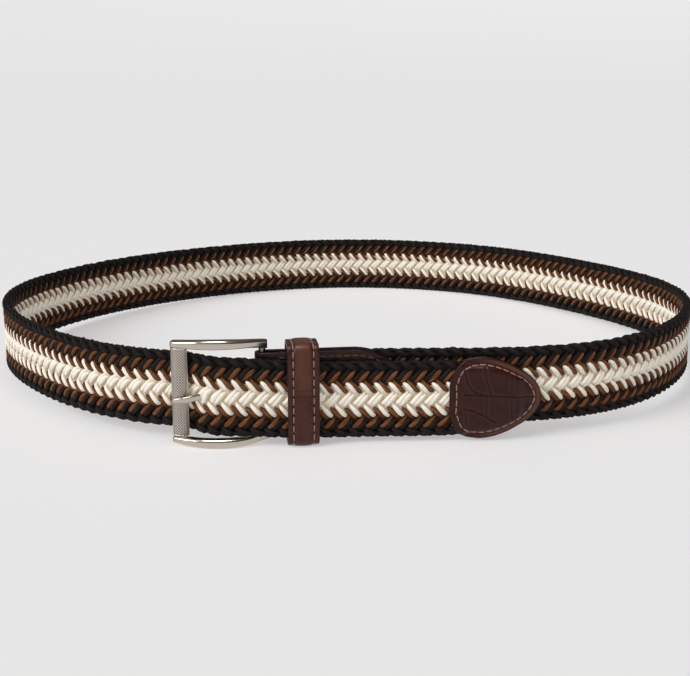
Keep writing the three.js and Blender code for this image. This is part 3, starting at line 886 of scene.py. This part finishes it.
def tabWay():
    # past the heel bar, out from the strap's middle and half the height, along the whole strip
    fold = buckle["heelBar"] / 2 + tab["gap"] + tab["leather"] / 2
    shares = np.linspace(1, tip["widest"], 40)
    straight = tab["length"] - (1 - tip["widest"]) * tip["length"]
    past = np.concatenate([tab["length"] - (1 - shares) * tip["length"], np.linspace(straight, 0, 60)[1:]])
    half = alongTable(tipOutline, 1, shares)
    tall = np.concatenate([belt["width"] / 2 * half, np.full(59, belt["width"] / 2)])
    out = fold + (tabOut - fold) * ease(past / straight, 0, 0.08)
    turns = np.linspace(0, math.pi, 24)[1:-1]
    past = np.concatenate([past, -fold * np.sin(turns), past[::-1]])
    out = np.concatenate([out, fold * np.cos(turns), -out[::-1]])
    tall = np.concatenate([tall, np.full(22, belt["width"] / 2), tall[::-1]])
    return past, out, tall


def makeTab():
    look = tabLook
    past, out, tall = tabWay()
    arc = np.append(0, np.cumsum(np.hypot(np.diff(past), np.diff(out))))
    aheadPast = np.gradient(past, arc)
    aheadOut = np.gradient(out, arc)

    def onTab(v, up, through):
        place = v * arc[-1]
        here = np.interp(place, arc, past)
        return onBelt(
            here - np.interp(place, arc, aheadOut) * through,
            np.interp(place, arc, out) + np.interp(place, arc, aheadPast) * through,
            middleHeight(here) + up,
        )

    def place(u, v):
        half = np.interp(v * arc[-1], arc, tall)
        up, through = stretchUp(u, half)
        closed = np.where((v <= 0) | (v >= 1), 0, 1)
        return onTab(v, up * closed, through * closed)

    def stretchUp(u, half):
        # the strip's section, stretched to its height without changing its rounded edges
        up, through, _, _ = roundRect(u, 2.0, tab["leather"], look["edgeRound"])
        return up + np.sign(up) * np.minimum(np.abs(up) / 0.5, 1) * (half - 1), through

    def values(u, v):
        up = stretchUp(u, np.ones_like(u))[0]
        # painted shadow over the whole tab, darker still near its upper and lower edges
        return {"deep": 0.72 + 0.18 * ease(np.abs(up), 0.6, 0.95)}

    addPiece("tab_strip", skin(40, 220, place, values), smoothLeather, "tab_leather")

    spots = []
    for side in (1, -1):
        def surface(places, lift):
            here = places[:, 0]
            face = side * (tabFace + lift)
            return onBelt(here, face, middleHeight(here) + places[:, 1])

        shares = np.linspace(tip["widest"], 0.93, 40)
        curve = tab["length"] - (1 - shares) * tip["length"]
        along = np.concatenate([np.linspace(look["crossSeam"], curve[0], 30)[:-1], curve])
        half = np.interp(along, past[:99][::-1], tall[:99][::-1]) - look["seamInset"]
        half = np.maximum(half, 0)
        top = np.stack([along - look["seamInset"] * ease(along, curve[0], curve[-1]), half], axis=1)
        ring = np.concatenate([top, top[::-1] * np.array([1, -1])])
        spots += seamSpots(surface, ring, look["seamPitch"], 0.04)
        cross = np.stack([np.full(20, look["crossSeam"]), np.linspace(1, -1, 20) * half[0]], axis=1)
        spots += seamSpots(surface, cross, look["seamPitch"], 0.04)
    addStitches("tab_stitches", "tab_leather", spots, shadedThread)


# The buckle: two bowed cheeks and the heel bar, a knurled bar between them and a prong

cheekShape = [
    # share of the length, of the bow, of the depth, how far the outer edge draws in and the inner one dips
    (0, 0, 0.62, 0.42, 0.34), (0.04, 0.04, 0.8, 0.36, 0.28), (0.12, 0.3, 0.9, 0.26, 0.12),
    (0.22, 0.66, 0.96, 0.15, 0), (0.33, 0.9, 1, 0.06, 0), (0.45, 1, 1, 0, 0), (0.57, 1, 1, 0, 0),
    (0.7, 0.86, 1, 0.05, 0), (0.82, 0.6, 1, 0.14, 0), (0.92, 0.32, 1, 0.24, 0), (1, 0.08, 0.98, 0.32, 0),
]
prongShape = [
    # share of the reach, of the height over the bar, of the width and of the thickness
    (0.05, 0.1, 1.1, 0.9), (0.14, 0.16, 1.1, 0.95), (0.32, 0.18, 1.08, 1), (0.48, 0.19, 1.05, 1),
    (0.57, 0.25, 1, 1), (0.67, 0.49, 1, 1), (0.78, 0.82, 0.98, 1), (0.86, 0.97, 0.92, 1),
    (0.93, 1, 0.8, 0.95), (0.98, 1, 0.55, 0.7), (1, 0.98, 0.2, 0.35),
]
prong = {
    "width": 2.8, "thick": 1.8, "pastBar": 2.5, "lean": 4.6, "raise": 1.1,
    "ringWall": 1.4, "ringHeight": 4.0, "gap": 0.3,
}
knurl = {"around": 17, "pitch": 1.35, "depth": 0.34, "collar": 0.5, "plainSide": 0.984, "detail": 5}


def metalMaterial(name, plate, roughness, shadeStrength):
    # Nickel plated zinc: a warm white metal with fine polishing scratches. The deep attribute darkens it
    # with painted shade in the knurl's furrows, on the cheeks' cut ends and over the heel bar.
    material, tree = newMaterial(name)
    whole = wherever(tree)
    marks = noise(tree, stretch(tree, whole, 1.0, 1.0, 12.0), 1 / (3 * mm), 5.0, 0.7)
    clouds = noise(tree, whole, 1 / (6 * mm), 2.0)
    paintedShade = reckon(tree, "MULTIPLY", marked(tree, "deep"), shadeStrength)
    finishMaterial(tree, {
        "Base Color": blend(tree, paintedShade, plate, "#2b241e"),
        "Metallic": 1.0,
        "Roughness": spreadOut(tree, clouds, 0.3, 0.7, roughness * 0.8, roughness * 1.25),
        "Normal": bump(tree, marks, 0.2, 0.01),
    })
    return material


polishedNickel = metalMaterial("nickel plated zinc, polished", "#c8bcb0", 0.16, 0.9)
knurledNickel = metalMaterial("nickel plated zinc, knurled", "#e6dbd0", 0.34, 0.92)


def stations(v, edge):
    # rows along a closed bar: the first and last make its flat ends, with a small round between
    share = np.interp(v, [0, 0.02, 0.05, 0.95, 0.98, 1], [0, 0, edge, 1 - edge, 1, 1])
    size = np.interp(v, [0, 0.02, 0.035, 0.05, 0.95, 0.965, 0.98, 1], [0, 0.86, 0.96, 1, 1, 0.96, 0.86, 0])
    return share, size


def cheekPlace(side):
    start = buckle["heelBar"] / 2 + buckle["overhang"]
    length = start + buckle["barSpacing"] + buckle["knurlWidth"] / 2 - buckle["short"]
    middle = buckle["height"] / 2

    def place(u, v):
        share, size = stations(v, 0.012)
        out = barOut * share + buckle["cheekBow"] * alongTable(cheekShape, 1, share)
        deep = buckle["cheekDepth"] / 2 * alongTable(cheekShape, 2, share)
        inner = middle - buckle["cheekHeight"] * (1 + np.maximum(alongTable(cheekShape, 4, share), 0))
        outer = middle - buckle["cheekHeight"] * np.maximum(alongTable(cheekShape, 3, share), 0)
        turn = math.tau * u
        wide = np.sign(np.cos(turn)) * np.abs(np.cos(turn)) ** 0.62
        tall = np.sign(np.sin(turn)) * np.abs(np.sin(turn)) ** 0.62
        z = middle + side * ((inner + outer) / 2 + (outer - inner) / 2 * tall * size)
        return onBelt(start - share * length, out + deep * wide * size, z)

    return place


def shadedCutEnds(u, v):
    # painted shade on the cheeks' cut ends
    return {"deep": 0.9 * (1 - ease(np.minimum(v, 1 - v), 0.035, 0.06))}


def prongHeight(share):
    return buckle["height"] / 2 + prong["raise"] - prong["lean"] * share


def makeBuckle():
    for name, side in (("cheek_upper", 1), ("cheek_lower", -1)):
        addPiece(name, skin(56, 90, cheekPlace(side), shadedCutEnds), polishedNickel, "buckle_frame")

    def heelBar(u, v):
        low = buckle["cheekHeight"] / 2
        turn = math.tau * u
        radius = buckle["heelBar"] / 2 * np.where((v <= 0) | (v >= 1), 0, 1)
        z = low + (buckle["height"] - 2 * low) * np.clip((v - 0.02) / 0.96, 0, 1)
        return onBelt(radius * np.cos(turn), radius * np.sin(turn), z)

    # painted shade over the whole heel bar
    made = skin(32, 24, heelBar, lambda u, v: {"deep": 0.75 + 0 * u})
    addPiece("heel_bar", made, polishedNickel, "buckle_frame")

    low = buckle["cheekHeight"] + buckle["seam"]
    high = buckle["height"] - low
    rows = int(round((high - low) / knurl["pitch"] * knurl["detail"]))

    def knurlHeight(u, z):
        rise = (z - low) / knurl["pitch"]
        one = np.abs(np.mod(knurl["around"] * u + rise, 1) - 0.5) * 2
        two = np.abs(np.mod(knurl["around"] * u - rise, 1) - 0.5) * 2
        peak = 1 - np.maximum(one, two)
        collar = ease(np.minimum(z - low, high - z), knurl["collar"] * 0.6, knurl["collar"])
        collar = collar * (np.abs(np.cos(math.tau * u)) < knurl["plainSide"])
        return peak * collar + (1 - collar)

    def barShares(v):
        z = low + (high - low) * np.clip((v * (rows + 4) - 2) / rows, 0, 1)
        size = np.interp(v * (rows + 4), [0, 1, 2, rows + 2, rows + 3, rows + 4], [0, 0.93, 1, 1, 0.93, 0])
        return z, size

    def knurledBar(u, v):
        z, size = barShares(v)
        turn = math.tau * u
        lift = knurl["depth"] * (knurlHeight(u, z) - 1)
        return onBelt(
            -buckle["barSpacing"] + (buckle["knurlWidth"] / 2 + lift) * np.cos(turn) * size,
            barOut + (buckle["knurlDepth"] / 2 + lift) * np.sin(turn) * size,
            z,
        )

    # painted shade in the knurl's furrows, deepest at their bottoms
    def knurlValues(u, v):
        return {"deep": (1 - knurlHeight(u, barShares(v)[0])) ** 2}

    made = skin(knurl["around"] * knurl["detail"], rows + 4, knurledBar, knurlValues)
    addPiece("bar_knurled", made, knurledNickel, "knurled_bar")

    reach = buckle["barSpacing"] + prong["pastBar"]
    over = barOut + buckle["knurlDepth"] / 2 + prong["gap"] + prong["thick"] / 2

    def blade(u, v):
        share, size = stations(v, 0.004)
        share = prongShape[0][0] + (1 - prongShape[0][0]) * share
        through, up, _, _ = roundRect(u, 1, 1, 0.28)
        thick = prong["thick"] * alongTable(prongShape, 3, share)
        width = prong["width"] * alongTable(prongShape, 2, share)
        out = over * alongTable(prongShape, 1, share)
        return onBelt(-reach * share, out + through * thick * size, prongHeight(share) + up * width * size)

    addPiece("prong_blade", skin(40, 120, blade), polishedNickel, "prong")

    def ring(u, v):
        across, up, _, _ = roundRect(u, prong["ringWall"], prong["ringHeight"], 0.5)
        radius = buckle["heelBar"] / 2 + prong["gap"] + prong["ringWall"] / 2 + across
        turn = math.tau * v
        return onBelt(radius * np.cos(turn), radius * np.sin(turn), prongHeight(0) + up)

    addPiece("prong_ring", skin(32, 48, ring), polishedNickel, "prong")


makeKeeper()
makeTip()
makeTab()
print("leather and stitches made")
makeBuckle()
print("buckle made")

# Camera, floor and light

view = {
    "place": (-0.65, -683.9, 179.6),   # from the loop's middle
    "pitch": 14.288,
    "focal": 1187.5,           # in pixels, for a picture 690 wide
    "pictureWidth": 690,
    "sensor": 36.0,
}


def makeCamera():
    data = bpy.data.cameras.new("camera")
    data.sensor_width = view["sensor"]
    data.lens = view["focal"] * view["sensor"] / view["pictureWidth"]
    data.clip_start = 0.01
    data.clip_end = 50
    camera = bpy.data.objects.new("camera", data)
    camera.location = (Vector(view["place"]) + Vector((shiftX, shiftY, 0))) * mm
    camera.rotation_euler = (math.radians(90 - view["pitch"]), 0, 0)
    bpy.context.scene.collection.objects.link(camera)
    bpy.context.scene.camera = camera


studio = {"floor": "#e3e2e2", "flat": 3.0, "reach": 14.0, "rise": 1.2}   # metres


def makeFloor():
    # one wide sheet: flat round the belt and rising a little far away, up to the horizon
    made = bmesh.new()
    flat = np.linspace(0.6, studio["flat"], 4)
    rings = np.append(flat, np.linspace(studio["flat"], studio["reach"], 16)[1:])
    bmesh.ops.create_circle(made, cap_ends=True, segments=64, radius=rings[0])
    edges = [edge for edge in made.edges if edge.is_boundary]
    for before, radius in zip(rings[:-1], rings[1:]):
        grown = bmesh.ops.extrude_edge_only(made, edges=edges)["geom"]
        verts = [item for item in grown if isinstance(item, bmesh.types.BMVert)]
        edges = [item for item in grown if isinstance(item, bmesh.types.BMEdge) and item.is_boundary]
        for vertex in verts:
            vertex.co.x *= radius / before
            vertex.co.y *= radius / before
            share = max(radius - studio["flat"], 0) / (studio["reach"] - studio["flat"])
            vertex.co.z = studio["rise"] * share * share
    floor = bpy.data.objects.new("floor", asMesh("floor", made))
    bpy.context.scene.collection.objects.link(floor)
    material, tree = newMaterial("matt paper, pale grey")
    finishMaterial(tree, {
        "Base Color": paint(studio["floor"]), "Roughness": 0.9, "Specular IOR Level": 0.1,
    })
    floor.data.materials.append(material)


lights = [
    # name, azimuth from the front (left is minus), height, strength, softness, all angles in degrees,
    # whether it throws a shadow (the top one fills the others') and whether it shows in the metal
    ("softboxTop", -20, 76, 1.68, 26, False, True),
    ("softboxLeft", -58, 32, 1.5, 34, True, True),
    ("softboxRight", 40, 36, 0.2, 30, True, False),
]
surroundings = {
    # sine of the height over the horizon, brightness
    "rise": [(0, 0.06), (0.14, 0.08), (0.34, 0.16), (0.5, 0.24), (0.75, 0.32), (1, 0.36)],
    # from here to there across the view, and from front to back, it changes from this share to that
    "aside": (-0.1, 0.4, 1.25, 0.3),
    "behind": (-0.3, 0.3, 1.3, 0.6),
}


def makeLights():
    for name, side, height, strength, softness, throwsShadow, shows in lights:
        data = bpy.data.lights.new(name, "SUN")
        data.energy = strength
        data.angle = math.radians(softness)
        data.use_shadow = throwsShadow
        lamp = bpy.data.objects.new(name, data)
        lamp.rotation_euler = (math.radians(90 - height), 0, math.radians(side))
        lamp.visible_glossy = shows
        bpy.context.scene.collection.objects.link(lamp)
    world = bpy.data.worlds.new("studio")
    bpy.context.scene.world = world
    world.use_nodes = True
    tree = world.node_tree
    ways = addNode(tree, "ShaderNodeTexCoord").outputs["Generated"]
    parts = addNode(tree, "ShaderNodeSeparateXYZ", {"Vector": ways})
    ramp = addNode(tree, "ShaderNodeValToRGB", {"Fac": parts.outputs["Z"]})
    bands = ramp.color_ramp.elements
    while len(bands) < len(surroundings["rise"]):
        bands.new(0.5)
    for band, (place, brightness) in zip(bands, surroundings["rise"]):
        band.position = place
        band.color = (brightness, brightness, brightness, 1)
    aside = spreadOut(tree, parts.outputs["X"], *surroundings["aside"])
    behind = spreadOut(tree, parts.outputs["Y"], *surroundings["behind"])
    back = tree.nodes["Background"]
    tree.links.new(ramp.outputs["Color"], back.inputs["Color"])
    tree.links.new(reckon(tree, "MULTIPLY", aside, behind), back.inputs["Strength"])


makeCamera()
makeFloor()
makeLights()
bpy.context.scene.view_settings.view_transform = "Standard"
print("camera, floor and lights made")
